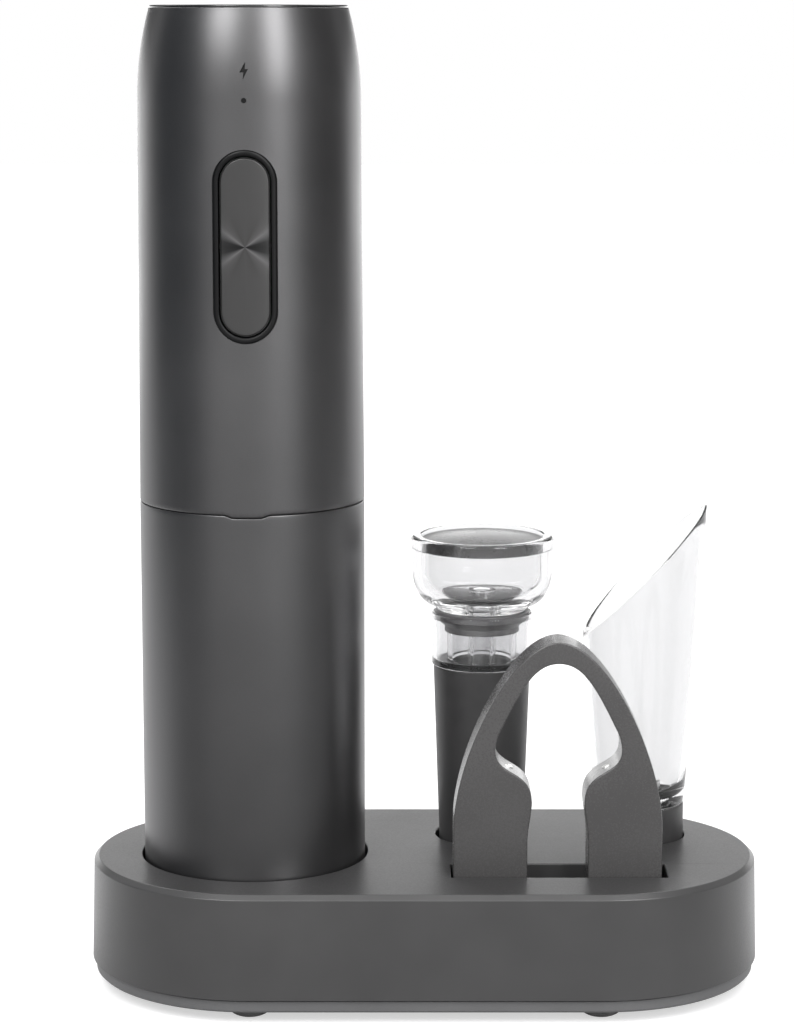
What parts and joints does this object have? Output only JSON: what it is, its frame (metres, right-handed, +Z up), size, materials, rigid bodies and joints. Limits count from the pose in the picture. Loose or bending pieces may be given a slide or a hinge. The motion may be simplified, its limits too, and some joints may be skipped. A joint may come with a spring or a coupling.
{
  "type": "electric wine opener",
  "caption": "Cordless cylindrical electric corkscrew on an oblong stand that also holds a vacuum bottle stopper, a slanted pourer and an arched foil cutter.",
  "frame": {"origin": "on the ground, under the middle of the stand", "axes": "+Z up, -Y towards the front where the button faces, +X towards the stopper, pourer and foil cutter; the opener stands at -X"},
  "size_m": [0.1512, 0.0742, 0.2189],
  "materials": {
    "stand_plastic": "fine matt moulding",
    "body_satin": "satin metallic paint",
    "cutter_plastic": "fine matt moulding",
    "black_trim": "semi-gloss black",
    "button_metal": "radially brushed",
    "dark_plastic": "as moulded",
    "black_rubber": "matt",
    "screw_steel": "zinc plated",
    "bright_steel": "polished",
    "bronze": "sintered",
    "gear_nylon": "natural nylon",
    "board_green": "solder mask",
    "cell_wrap": "shrink-wrapped steel can",
    "winding": "enamelled copper on laminated iron",
    "ferrite": "sintered",
    "lead_red": "insulated wire",
    "frame_white": "as moulded",
    "clear_plastic": "clear polished moulding",
    "disc_grey": "glossy grey moulding"
  },
  "bodies": {
    "stand": {"base_shell": "stand_plastic", "base_bottom_plate": "stand_plastic", "rubber_feet": "black_rubber", "base_screws": "screw_steel"},
    "sleeve": {"lower_sleeve": "body_satin", "neck_guide": "dark_plastic"},
    "drive_unit": {"upper_housing": "body_satin", "top_cap": "black_trim", "button_bezel": "black_trim", "switch_board": "board_green", "tact_switches": "dark_plastic", "lamp_window": "black_trim", "battery_cell": "cell_wrap", "inner_frame": "frame_white", "charge_board": "board_green", "usb_socket": "screw_steel", "chassis": "dark_plastic", "spigot_ring": "black_rubber", "housing_screws": "screw_steel", "gearbox_can": "gear_nylon", "motor_plate": "screw_steel", "gearbox_screws": "screw_steel", "motor_can": "screw_steel", "motor_magnets": "ferrite", "motor_end_bell": "dark_plastic", "motor_screws": "screw_steel", "output_bush": "bronze", "motor_leads": "lead_red"},
    "rotor": {"motor_shaft": "bright_steel", "motor_armature": "winding", "motor_pinion": "bronze"},
    "fast_stage": {"fast_carrier": "screw_steel"},
    "fast_planet_a": {"fast_planet_a": "gear_nylon"},
    "fast_planet_b": {"fast_planet_b": "gear_nylon"},
    "fast_planet_c": {"fast_planet_c": "gear_nylon"},
    "slow_planet_a": {"slow_planet_a": "gear_nylon"},
    "slow_planet_b": {"slow_planet_b": "gear_nylon"},
    "slow_planet_c": {"slow_planet_c": "gear_nylon"},
    "output": {"output_carrier": "screw_steel", "worm_hub": "screw_steel", "worm": "bright_steel"},
    "rocker": {"button": "dark_plastic", "button_trim": "button_metal"},
    "stopper": {"stopper_plug": "black_rubber", "stopper_barrel": "clear_plastic", "stopper_gland": "black_rubber", "stopper_valve": "black_rubber"},
    "pump": {"pump_knob": "clear_plastic", "knob_disc": "disc_grey", "pump_rod": "clear_plastic", "pump_piston": "black_rubber"},
    "pourer": {"pourer_spout": "clear_plastic", "pourer_collar": "black_rubber", "pourer_air_tube": "screw_steel"},
    "foil_cutter": {"cutter_body": "cutter_plastic", "cutter_pins": "bright_steel"},
    "wheel_a": {"cutter_wheel_a": "bright_steel"},
    "wheel_b": {"cutter_wheel_b": "bright_steel"},
    "wheel_c": {"cutter_wheel_c": "bright_steel"},
    "wheel_d": {"cutter_wheel_d": "bright_steel"}
  },
  "joints": [
    {"name": "opener_lift", "type": "slide", "parent": "stand", "child": "sleeve", "axis": [0, 0, 1], "range_m": [0, 0.04]},
    {"name": "sleeve_pull", "type": "slide", "parent": "sleeve", "child": "drive_unit", "axis": [0, 0, 1], "range_m": [0, 0.075]},
    {"name": "worm_spin", "type": "hinge", "parent": "drive_unit", "child": "output", "pos_m": [-0.0385, 0, 0.1104], "axis": [0, 0, 1], "continuous": true},
    {"name": "fast_stage_spin", "type": "hinge", "parent": "drive_unit", "child": "fast_stage", "pos_m": [-0.0385, 0, 0.1104], "axis": [0, 0, 1], "continuous": true},
    {"name": "rotor_spin", "type": "hinge", "parent": "drive_unit", "child": "rotor", "pos_m": [-0.0385, 0, 0.1104], "axis": [0, 0, 1], "continuous": true},
    {"name": "slow_planet_a_spin", "type": "hinge", "parent": "output", "child": "slow_planet_a", "pos_m": [-0.0385, 0.00825, 0.1104], "axis": [0, 0, 1], "continuous": true},
    {"name": "fast_planet_a_spin", "type": "hinge", "parent": "fast_stage", "child": "fast_planet_a", "pos_m": [-0.0385, 0.00825, 0.1104], "axis": [0, 0, 1], "continuous": true},
    {"name": "slow_planet_b_spin", "type": "hinge", "parent": "output", "child": "slow_planet_b", "pos_m": [-0.04564, -0.00413, 0.1104], "axis": [0, 0, 1], "continuous": true},
    {"name": "fast_planet_b_spin", "type": "hinge", "parent": "fast_stage", "child": "fast_planet_b", "pos_m": [-0.04564, -0.00413, 0.1104], "axis": [0, 0, 1], "continuous": true},
    {"name": "slow_planet_c_spin", "type": "hinge", "parent": "output", "child": "slow_planet_c", "pos_m": [-0.03136, -0.00413, 0.1104], "axis": [0, 0, 1], "continuous": true},
    {"name": "fast_planet_c_spin", "type": "hinge", "parent": "fast_stage", "child": "fast_planet_c", "pos_m": [-0.03136, -0.00413, 0.1104], "axis": [0, 0, 1], "continuous": true},
    {"name": "rocker_tilt", "type": "hinge", "parent": "drive_unit", "child": "rocker", "pos_m": [-0.0385, -0.0209, 0.168], "axis": [1, 0, 0], "range_deg": [-2.5, 2.5], "stiffness_Nm_per_rad": 0.9},
    {"name": "stopper_lift", "type": "slide", "parent": "stand", "child": "stopper", "axis": [0, 0, 1], "range_m": [0, 0.03]},
    {"name": "pump_stroke", "type": "slide", "parent": "stopper", "child": "pump", "axis": [0, 0, 1], "range_m": [0, 0.03]},
    {"name": "pourer_lift", "type": "slide", "parent": "stand", "child": "pourer", "axis": [0, 0, 1], "range_m": [0, 0.03]},
    {"name": "cutter_lift", "type": "slide", "parent": "stand", "child": "foil_cutter", "axis": [0, 0, 1], "range_m": [0, 0.03]},
    {"name": "wheel_a_spin", "type": "hinge", "parent": "foil_cutter", "child": "wheel_a", "pos_m": [0.0406, -0.0169, 0.05187], "axis": [0, 1, 0], "continuous": true},
    {"name": "wheel_b_spin", "type": "hinge", "parent": "foil_cutter", "child": "wheel_b", "pos_m": [0.03727, -0.0169, 0.07361], "axis": [0, 1, 0], "continuous": true},
    {"name": "wheel_c_spin", "type": "hinge", "parent": "foil_cutter", "child": "wheel_c", "pos_m": [0.0178, -0.0169, 0.05187], "axis": [0, 1, 0], "continuous": true},
    {"name": "wheel_d_spin", "type": "hinge", "parent": "foil_cutter", "child": "wheel_d", "pos_m": [0.02113, -0.0169, 0.07361], "axis": [0, 1, 0], "continuous": true}
  ],
  "couplings": [
    {"joint": "fast_stage_spin", "follows": "worm_spin", "ratio": 5.5},
    {"joint": "rotor_spin", "follows": "worm_spin", "ratio": 30.25},
    {"joint": "slow_planet_a_spin", "follows": "worm_spin", "ratio": -2.5714},
    {"joint": "fast_planet_a_spin", "follows": "worm_spin", "ratio": -14.143},
    {"joint": "slow_planet_b_spin", "follows": "worm_spin", "ratio": -2.5714},
    {"joint": "fast_planet_b_spin", "follows": "worm_spin", "ratio": -14.143},
    {"joint": "slow_planet_c_spin", "follows": "worm_spin", "ratio": -2.5714},
    {"joint": "fast_planet_c_spin", "follows": "worm_spin", "ratio": -14.143}
  ]
}
